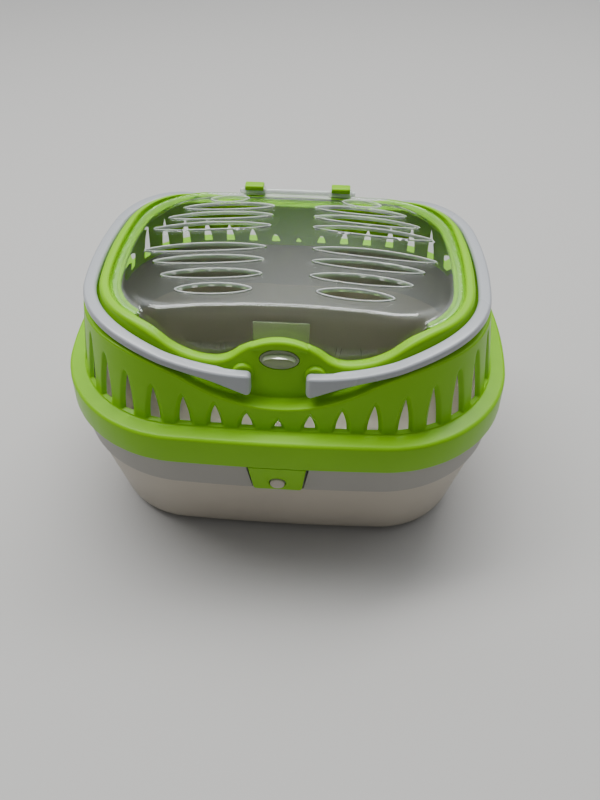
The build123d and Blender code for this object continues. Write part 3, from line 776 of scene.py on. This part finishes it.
def build_hooks():
    """Two hooks on the rear rim, curled over the lid's barrels and open to the front."""
    bore, mouth, n = 3.3, 2.4, 24
    profile = rounded([(HOOK_REAR, HOOK_LOW, 0), (HOOK_REAR, HOOK_TOP, 2.4),
                       (HOOK_FRONT, HOOK_TOP, 2.6), (HOOK_FRONT, HINGE_Z + mouth, 0)], 7)
    a0 = pi - arcsin(mouth / bore)
    for k in range(n + 1):
        ang = a0 - (a0 + pi / 2) * k / n
        profile.append(Vector((HINGE_Y + bore * cos(ang), HINGE_Z + bore * sin(ang))))
    profile += [Vector((HOOK_FRONT, HINGE_Z - bore)), Vector((HOOK_FRONT, HOOK_LOW))]
    for side, label in ((-1, "left"), (1, "right")):
        x = side * HOOK_X
        hook = prism("shell_hook_" + label, profile, x - HOOK_HALF, x + HOOK_HALF, GREEN)
        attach(hook, "shell")


def build_bosses():
    """Round pivot bosses behind the handles' ends, with flat faces and rounded edges."""
    face_y = 89.56
    profile = [(0, 0), (5.1, 0), (5.9, 0.25), (6.35, 0.8), (6.5, 1.4), (6.7, 3.0), (6.95, 4.2),
               (0, 4.2)]
    bosses = [lathe("boss", (x, end * face_y, PIVOT_Z), (0, -end, 0), profile, GREEN, n=56)
              for x in (-PIVOT_X, PIVOT_X) for end in (-1, 1)]
    base = bosses[0]
    join(base, bosses[1:])
    base.name = "shell_bosses"
    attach(base, "shell")


build_ledge()
build_hooks()
build_bosses()


# ---- lid
# front face's inset at its height, and slope; crown's height and radius; flat strip at the edge
FACE_IN, FACE_Z, FACE_T = 35.9, 161.0, tan(radians(36.0))
CROWN_Z, CROWN_R = 181.0, 685.0
STRIP_LOW, STRIP_TOP = 171.6, 173.4
PLATE_T, STRIP_EDGE_T, LID_GAP = 1.5, 0.6, 1.2
# slits as (y, inner |x|, outer |x|), their raised rims, and the lid's notches as (x0, x1, y)
SLIT_HALF, BEAD_W, BEAD_H = 3.9, 1.5, 0.85
SLITS = ((-49.0, 20.0, 64.5), (-33.5, 15.5, 76.5), (-18.0, 16.0, 85.0), (-4.0, 16.0, 94.0),
         (22.0, 15.0, 94.0), (35.5, 15.0, 86.0), (48.0, 15.0, 77.5), (58.5, 34.0, 60.0))
SLIT_BOXES = [(x0, x1, y) for y, inner, outer in SLITS
              for x0, x1 in ((inner, outer), (-outer, -inner))]
NOTCHES = ((-40.3, -23.7, 74.4), (23.7, 40.3, 74.4), (-17.1, 17.1, -69.7))
FLANGE_ARCS = arcs(0.0)


def inset_at(x, y):
    """How far a point lies inside the outline."""
    p = Vector((abs(x), -abs(y)))
    (cf, rf, _, a1), (cc, rc, _, a2), (cs, rs, _, _) = FLANGE_ARCS[:3]
    found = []
    if atan2(p.y - cf.y, p.x - cf.x) <= a1:
        found.append(rf - (p - cf).length)
    if atan2(p.y - cs.y, p.x - cs.x) >= a2:
        found.append(rs - (p - cs).length)
    return min(found) if found else rc - (p - cc).length


def dome(x, y, wall):
    """Sloping faces and crown of the lid's outer face, or of one that lies a wall below it."""
    face = FACE_Z + (inset_at(x, y) - wall - FACE_IN) / FACE_T
    crown = CROWN_Z - wall - CROWN_R + sqrt(CROWN_R ** 2 - x * x)
    return soft_min(face, crown, 5.0)


def strip_here(x, y):
    """1 where the flat edge strip runs, 0 along the front."""
    return 1.0 if y > 0 else smooth((abs(x) - 82.4) / 1.2)


def lid_top(x, y):
    z = dome(x, y, 0.0)
    s = strip_here(x, y)
    if s > 0:
        strip = -soft_min(-z, -STRIP_TOP, 1.6)
        z += (strip - z) * s
    return z


def lid_under(x, y):
    z = dome(x, y, PLATE_T)
    s = strip_here(x, y)
    if s > 0:
        z += (max(z, STRIP_LOW) - z) * s
    return z


def lid_spot(t, inset):
    """Point of the lid's outline: the shell's, but further back over the rear rim."""
    p, _ = spot(t, inset)
    return Vector((p.x, p.y + LID_REACH * smooth(p.y / 14)))


def lid_edge(t):
    """Lid's edge at t: insets of its top and foot, the foot's height, and the thickness there."""
    p, _ = spot(t, 38.0)
    s = strip_here(p.x, p.y)
    low = level(LID_FRONT, p.x)
    foot = rim_in(low) + RIM_W + LID_GAP
    front = max(FACE_IN + (low - FACE_Z) * FACE_T, foot)
    side = rim_in(172.5) + RIM_W + LID_GAP
    return (front + (side - front) * s, foot + (side - foot) * s, low + (STRIP_LOW - low) * s,
            PLATE_T + (STRIP_EDGE_T - PLATE_T) * s)


def lid_border():
    """Border of the lid, anticlockwise, as (top, outer foot, inner foot, foot's height)."""
    rows = []
    for k in range(360):
        t = TOTAL * k / 360
        top, foot, low, thick = lid_edge(t)
        rows.append((lid_spot(t, top), lid_spot(t, foot), lid_spot(t, foot + thick), low))

    def notch_of(row):
        for x0, x1, y in NOTCHES:
            if x0 < row[0].x < x1 and row[0].y * y > 0:
                return x0, x1, y
        return None

    def cut(x, y):
        back = y - STRIP_EDGE_T * (1 if y > 0 else -1)
        return Vector((x, y)), Vector((x, y)), Vector((x, back)), lid_under(x, y)

    out = []
    for k, row in enumerate(rows):
        nxt = rows[(k + 1) % len(rows)]
        here, there = notch_of(row), notch_of(nxt)
        out.append(cut(row[0].x, here[2]) if here else row)
        if here != there:
            x0, x1, y = here or there
            plain = nxt if here else row
            x = x0 if abs(plain[0].x - x0) < abs(plain[0].x - x1) else x1
            corner = tuple(Vector((x, q.y)) for q in plain[:3]) + (plain[3],)
            out += [cut(x, y), corner] if here else [corner, cut(x, y)]
    return out


def slit_half(y):
    """The slits are widest at the front."""
    return SLIT_HALF + 0.7 * smooth((-15.0 - y) / 30.0)


def slit_loop(x0, x1, y, grow):
    """Outline of a lens-shaped slit with blunt ends, moved out by grow."""
    n, a, xc = 48, (x1 - x0) / 2, (x0 + x1) / 2
    pts = []
    for k in range(n):
        th = 2 * pi * k / n
        up = slit_half(y) * abs(sin(th)) ** 1.45
        pts.append(Vector((xc + a * cos(th), y + (up if sin(th) >= 0 else -up))))
    out = []
    for k in range(n):
        tangent = (pts[(k + 1) % n] - pts[k - 1]).normalized()
        out.append(pts[k] + Vector((tangent.y, -tangent.x)) * grow)
    return out


def in_slit(x, y, margin):
    for x0, x1, yc in SLIT_BOXES:
        half = slit_half(yc)
        if x0 - margin < x < x1 + margin and abs(y - yc) < half + margin:
            u = min(abs(x - (x0 + x1) / 2) / ((x1 - x0) / 2 + margin), 1)
            if abs(y - yc) < half * (1 - u * u) ** 0.72 + margin * (1 - u ** 6):
                return True
    return False


def inside(points, loop):
    """Which of the points lie inside a closed loop."""
    px = np.array([q[0] for q in points])
    py = np.array([q[1] for q in points])
    hit = np.zeros(len(px), dtype=bool)
    for k in range(len(loop)):
        (x0, y0), (x1, y1) = loop[k - 1], loop[k]
        if y0 == y1:
            continue
        crosses = (y0 > py) != (y1 > py)
        hit ^= crosses & (px < (x1 - x0) * (py - y0) / (y1 - y0) + x0)
    return hit


BEAD_STEPS = (0.0, 0.2, 0.5, 0.8, 1.1, 1.35, 1.55)
EDGE_STEPS = (0.12, 0.35, 0.7, 1.3, 2.2, 3.2, 4.2, 5.0, 5.7, 6.4, 7.2, 8.2, 9.2, 10.2, 11.4,
              12.8, 14.4)
UNDER_STEPS = (0.8, 2.2, 3.8, 5.0, 6.0, 7.2, 9.0, 11.5, 14.4)
FAR = 99.0


def bead(g):
    """Height of the raised rim of a slit at g from the slit's edge."""
    u = (g - BEAD_W / 2) / (BEAD_W / 2)
    return BEAD_H * sqrt(max(1 - u * u, 0.0)) if g < BEAD_W else 0.0


def lid_free_points(under, edge_steps):
    """Points inside one face of the lid, each with its distance from the border, or FAR."""
    around, grid = 300, 4.0
    free = []
    for step in edge_steps:
        for k in range(around):
            t = TOTAL * k / around
            top, foot, _, thick = lid_edge(t)
            free.append((lid_spot(t, (foot + thick if under else top) + step), step))
    bend = [38.0 + 1.1 * k for k in range(17)]
    for inset in bend:
        for k in range(around):
            t = TOTAL * (k + 0.5) / around
            if inset > lid_edge(t)[0] + edge_steps[-1] + 0.8:
                free.append((lid_spot(t, inset), FAR))
    for a in range(-30, 31):
        for b in range(-22, 24):
            q = Vector((a * grid + (grid / 2 if b % 2 else 0), b * grid))
            if inset_at(q.x, q.y - (LID_REACH if q.y > 0 else 0)) > bend[-1] + 2.0:
                free.append((q, FAR))
    return free


def near_notch(q):
    return any(x0 - 0.7 < q.x < x1 + 0.7 and (q.y > y - 0.9 if y > 0 else q.y < y + 0.9)
               for x0, x1, y in NOTCHES)


def lid_sheet(border, under, edge_steps, bead_steps):
    """Plan triangulation of one face of the lid.

    Returns points, their distances from a slit's and the border's edge, triangles, and loops.
    """
    pts, edges, loops, grow, rim = [], [], [], [], []

    def add(points, g=0.0, r=FAR, closed=False):
        ids = list(range(len(pts), len(pts) + len(points)))
        pts.extend(points)
        grow.extend([g] * len(points))
        rim.extend([r] * len(points))
        if closed:
            edges.extend(zip(ids, ids[1:] + ids[:1]))
            loops.append(ids)

    add(border, r=0.0, closed=True)
    for x0, x1, y in SLIT_BOXES:
        for g in bead_steps:
            add(slit_loop(x0, x1, y, g), g=g, closed=g == 0)
    free = lid_free_points(under, edge_steps)
    for (q, r), good in zip(free, inside([q for q, _ in free], border)):
        if good and not near_notch(q) and not in_slit(q.x, q.y, max(bead_steps) + 1.0):
            add([q], r=r)
    found, _, tris, source, _, _ = geometry.delaunay_2d_cdt(pts, edges, [], 0, 1e-5)
    centres = [(sum(found[i].x for i in f) / 3, sum(found[i].y for i in f) / 3) for f in tris]
    keep = inside(centres, border)
    for ids in loops[1:]:
        keep &= ~inside(centres, [pts[i] for i in ids])
    where = {i: k for k, sources in enumerate(source) for i in sources}
    return (found,
            [max((grow[i] for i in sources), default=0.0) for sources in source],
            [min((rim[i] for i in sources), default=FAR) for sources in source],
            [f for f, good in zip(tris, keep) if good],
            [[where[i] for i in ids] for ids in loops])


def build_lid():
    """Clear lid: crowned top, sloping faces, edge strip, and slits with raised rims."""
    border = lid_border()
    soft, foot_up = 0.6, 0.3
    top, grow, rim, faces, loops = lid_sheet([r[0] for r in border], False, EDGE_STEPS, BEAD_STEPS)
    verts = []
    for q, g, r in zip(top, grow, rim):
        z = lid_top(q.x, q.y) + (bead(g) if g > 0 else 0.0)
        if r < soft:
            z -= soft - sqrt(soft ** 2 - (soft - r) ** 2)
        verts.append((q.x, q.y, z))
    low, _, _, low_faces, low_loops = lid_sheet([r[2] for r in border], True,
                                                UNDER_STEPS, (0.0, 0.6))
    base = len(verts)
    verts += [(q.x, q.y, lid_under(q.x, q.y)) for q in low]
    for k, row in zip(low_loops[0], border):
        verts[base + k] = (row[2].x, row[2].y, row[3])
    faces += [tuple(i + base for i in reversed(f)) for f in low_faces]
    foot = len(verts)
    verts += [(q.x, q.y, z + foot_up) for _, q, _, z in border]
    n = len(border)
    for k in range(n):
        k2 = (k + 1) % n
        faces.append((loops[0][k], loops[0][k2], foot + k2, foot + k))
        faces.append((foot + k, foot + k2, base + low_loops[0][k2], base + low_loops[0][k]))
    for up, down in zip(loops[1:], low_loops[1:]):
        for k in range(len(up)):
            k2 = (k + 1) % len(up)
            faces.append((up[k2], up[k], down[k] + base, down[k2] + base))
    body = make("lid_body", verts, faces, CLEAR, smooth_angle=50)
    # slit walls and raised rims take the whitened material: painted highlight
    body.data.materials.append(MILKY_PAINTED_HIGHLIGHT)
    for face in body.data.polygons:
        c = face.center / MM
        wall = abs(face.normal.z) < 0.7 and in_slit(c.x, c.y, 0.1)
        if wall or (in_slit(c.x, c.y, BEAD_W * 0.9) and c.z > lid_top(c.x, c.y) + 0.1):
            face.material_index = 1
    return body


def build_rod():
    """Hinge rod with a barrel for each hook, its profile mirrored about its middle."""
    length = 86.0
    half = [(0, 0), (1.6, 0), (2.0, 0.4), (2.0, 2.6), (3.0, 2.8), (3.2, 3.1), (3.2, 18.9),
            (3.0, 19.2), (2.0, 19.4)]
    profile = half + [(r, length - h) for r, h in reversed(half)]
    # the rod takes the same whitened material: painted highlight
    return lathe("lid_hinge_rod", (-length / 2, HINGE_Y, HINGE_Z), (1, 0, 0), profile, MILKY_PAINTED_HIGHLIGHT, n=28)


lid = build_lid()
rod = build_rod()
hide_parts("lid")
for piece in (lid, rod):
    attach(piece, "lid")


# ---- latch tongue and its button
OVAL_N = 64
WINDOW = (11.8, 6.75)
WINDOW_DEPTH = 9.0
# the button's ovals: barrel in the window, ledge round its face, bevel and face
BUTTON_RINGS = [(11.5, 6.45, -8.5), (11.5, 6.45, -0.35), (11.38, 6.33, -0.1), (11.15, 6.1, 0.0),
                (10.3, 4.1, 0.0), (10.0, 3.85, 0.05), (9.95, 3.8, 0.15), (8.85, 2.55, 3.0),
                (8.75, 2.46, 3.1), (8.4, 2.2, 3.17), (4.0, 1.1, 3.2)]
# ring of the button whose faces take the bevel material, the painted highlight
PAINTED_GLINT_RING = 6


def oval_stack(name, rings, mat, level_from=0.0):
    """Ovals on the button's leaning face, as (half width, half height, distance out of the face).

    Behind level_from they follow one another along Y, the way the button slides, and beyond it
    square to the face.
    """
    lean = radians(LEAN_DEG)
    side = Vector((1, 0, 0))
    up = Vector((0, sin(lean), cos(lean)))
    out = Vector((0, -cos(lean), sin(lean)))
    centre = Vector((0, -(HALF_D - wall_in(BUTTON_Z) - RIM_BACK), BUTTON_Z))
    verts = []
    for a, b, h in rings:
        shift = Vector((0, -1, 0)) * min(h, level_from) + out * max(h - level_from, 0.0)
        for k in range(OVAL_N):
            th = 2 * pi * k / OVAL_N
            verts.append(centre + shift + side * (a * cos(th)) + up * (b * sin(th)))
    return make(name, verts, tube_faces(len(rings), OVAL_N), mat, smooth_angle=16)


def build_tongue():
    """Clear tongue below the lid's front face, and the press button it carries."""
    root, tip = Vector((-70.02, 173.5)), Vector((-80.84, 150.5))
    length, half, thick, r = 25.4, 16.5, 1.8, 0.5
    along = (tip - root).normalized()
    inward = Vector((-along.y, along.x))
    verts = []
    stops = [0.0, 0.2] + [r + (length - 2 * r) * k / 8 for k in range(9)] + [length - 0.2, length]
    for d in stops:
        pull = max(r - d, d - (length - r), 0.0)
        pull = r - sqrt(max(r * r - pull * pull, 0))
        x, y = half - pull, thick - pull
        section = rounded([(-x, pull, r), (x, pull, r), (x, y, r), (-x, y, r)], 3)
        for q in section:
            at = root + along * d + inward * q.y
            verts.append((q.x, at.x, at.y))
    faces = tube_faces(len(stops), len(section))
    plate = make("tongue_plate", verts, faces, PLATE, smooth_angle=40)
    button = oval_stack("tongue_button", BUTTON_RINGS, BUTTON)
    # the bevel ring gets a lighter, glossier material: a painted highlight
    button.data.materials.append(PAINTED_GLINT)
    for poly in button.data.polygons:
        if poly.index // OVAL_N == PAINTED_GLINT_RING:
            poly.material_index = 1
    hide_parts("lid_latch_tongue")
    for piece in (plate, button):
        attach(piece, "latch_tongue")


def build_nose_lip():
    """Raised band over the latch: a rounded top and a flat face whose foot dips at its ends."""
    n, end_r, long = 26, 0.3, 2 * LIP_HALF
    steps = [0.0, 0.08] + [end_r + (long - 2 * end_r) * k / n for k in range(n + 1)]
    steps += [long - 0.08, long]
    verts = []
    for d in steps:
        x = -LIP_HALF + d
        pull = end_r - min(d, long - d, end_r)
        pull = end_r - sqrt(max(end_r ** 2 - pull * pull, 0)) if pull > 0 else 0.0
        z = crest(x, -1) + 0.1 - pull
        low = 166.0 - 1.4 * (x / LIP_HALF) ** 2 + pull
        top_in, low_in = rim_in(z), rim_in(low)
        section = rounded([(top_in + 4.4 - pull, z - 2.0, 0.3), (top_in + 4.4 - pull, z, 1.2),
                           (top_in - LIP_OUT + pull, z, 2.3), (low_in - LIP_OUT + pull, low, 0.35),
                           (low_in + 1.0, low, 0.2)], 4)
        verts += placed(t_at_x(x), section)
    faces = tube_faces(len(steps), len(section))
    lip = make("shell_nose_lip", verts, faces, GREEN, smooth_angle=40)
    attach(lip, "shell")


def cut_window(shell):
    """Oval window of the latch button, through the recessed wall."""
    rings = [(*WINDOW, -WINDOW_DEPTH), (*WINDOW, WINDOW_DEPTH)]
    cutter = oval_stack("cutter", rings, GREEN, level_from=WINDOW_DEPTH)
    mod = shell.modifiers.new("window", "BOOLEAN")
    mod.operation = "DIFFERENCE"
    mod.solver = "EXACT"
    mod.object = cutter
    evaluated = shell.evaluated_get(bpy.context.evaluated_depsgraph_get())
    mesh = bpy.data.meshes.new_from_object(evaluated)
    shell.modifiers.remove(mod)
    shell.data = mesh
    shade(shell, 38)
    bpy.data.objects.remove(cutter)


build_tongue()
build_nose_lip()
cut_window(shell)


# ---- camera, light, floor
def camera():
    """Camera: its axes, its place in mm, and its focal length and height in pixels."""
    right = Vector((0.99818315, 0.05946297, 0.00972392))
    down = Vector((0.04993201, -0.72603522, -0.68584229))
    forward = Vector((-0.03372231, 0.68508176, -0.72768523))
    place = Vector((24.483, -335.975, 392.282)) * MM
    focal, height = 597.0156, 800
    data = bpy.data.cameras.new("camera")
    data.sensor_fit = "VERTICAL"
    data.sensor_height = 36.0
    data.lens = focal / height * data.sensor_height
    data.clip_start, data.clip_end = 0.01, 20
    cam = bpy.data.objects.new("camera", data)
    turn = Matrix((right, -down, -forward)).transposed()
    cam.matrix_world = Matrix.Translation(place) @ turn.to_4x4()
    SCENE.collection.objects.link(cam)
    SCENE.camera = cam


def area(name, place, target, size, power):
    data = bpy.data.lights.new(name, "AREA")
    data.shape = "RECTANGLE"
    data.size, data.size_y = size
    data.energy = power
    obj = bpy.data.objects.new(name, data)
    obj.location = place
    obj.rotation_euler = (Vector(target) - Vector(place)).to_track_quat("-Z", "Y").to_euler()
    SCENE.collection.objects.link(obj)


def ground():
    half = 12
    mesh = bpy.data.meshes.new("floor")
    corners = [(-half, -half, 0), (half, -half, 0), (half, half, 0), (-half, half, 0)]
    mesh.from_pydata(corners, [], [(0, 1, 2, 3)])
    floor = bpy.data.objects.new("floor", mesh)
    SCENE.collection.objects.link(floor)
    m, nt, shader = new_material("floor")
    connect(nt, shader, {"Base Color": (0.50, 0.488, 0.468, 1), "Roughness": 0.7})
    mesh.materials.append(m)


def world():
    """Soft sky, brighter above and behind, with a plain backdrop where the camera looks at it."""
    made = bpy.data.worlds.new("world")
    SCENE.world = made
    made.use_nodes = True
    nt = made.node_tree
    direction = socket(nt, "ShaderNodeTexCoord", {}, "Generated")
    split = nt.nodes.new("ShaderNodeSeparateXYZ")
    connect(nt, split, {"Vector": direction})

    def ease(axis, low, high, bottom, top):
        curve = nt.nodes.new("ShaderNodeMapRange")
        curve.interpolation_type = "SMOOTHSTEP"
        connect(nt, curve, {"Value": split.outputs[axis], "From Min": low, "From Max": high,
                            "To Min": bottom, "To Max": top})
        return curve.outputs["Result"]

    glow = nt.nodes.new("ShaderNodeMath")
    glow.operation = "MULTIPLY_ADD"
    connect(nt, glow, {0: ease("Z", 0.43, 0.72, 0.0, 2.4), 1: ease("Y", -0.35, 0.6, 0.07, 1.0),
                       2: 0.07})
    sky = nt.nodes["Background"]
    connect(nt, sky, {"Color": (0.94, 0.97, 1.0, 1), "Strength": glow.outputs["Value"]})
    plain = {"Color": (0.95, 0.96, 1.0, 1), "Strength": 0.5}
    backdrop = socket(nt, "ShaderNodeBackground", plain, "Background")
    seen = socket(nt, "ShaderNodeLightPath", {}, "Is Camera Ray")
    either = {"Fac": seen, 1: sky.outputs["Background"], 2: backdrop}
    mix = socket(nt, "ShaderNodeMixShader", either, "Shader")
    connect(nt, nt.nodes["World Output"], {"Surface": mix})


camera()
ground()
world()
area("key", (-0.2, 0.5, 1.65), (0, 0, 0.1), (2.4, 0.42), 36)
area("front", (0.2, -0.9, 1.2), (0, 0, 0.15), (1.5, 0.4), 0.3)
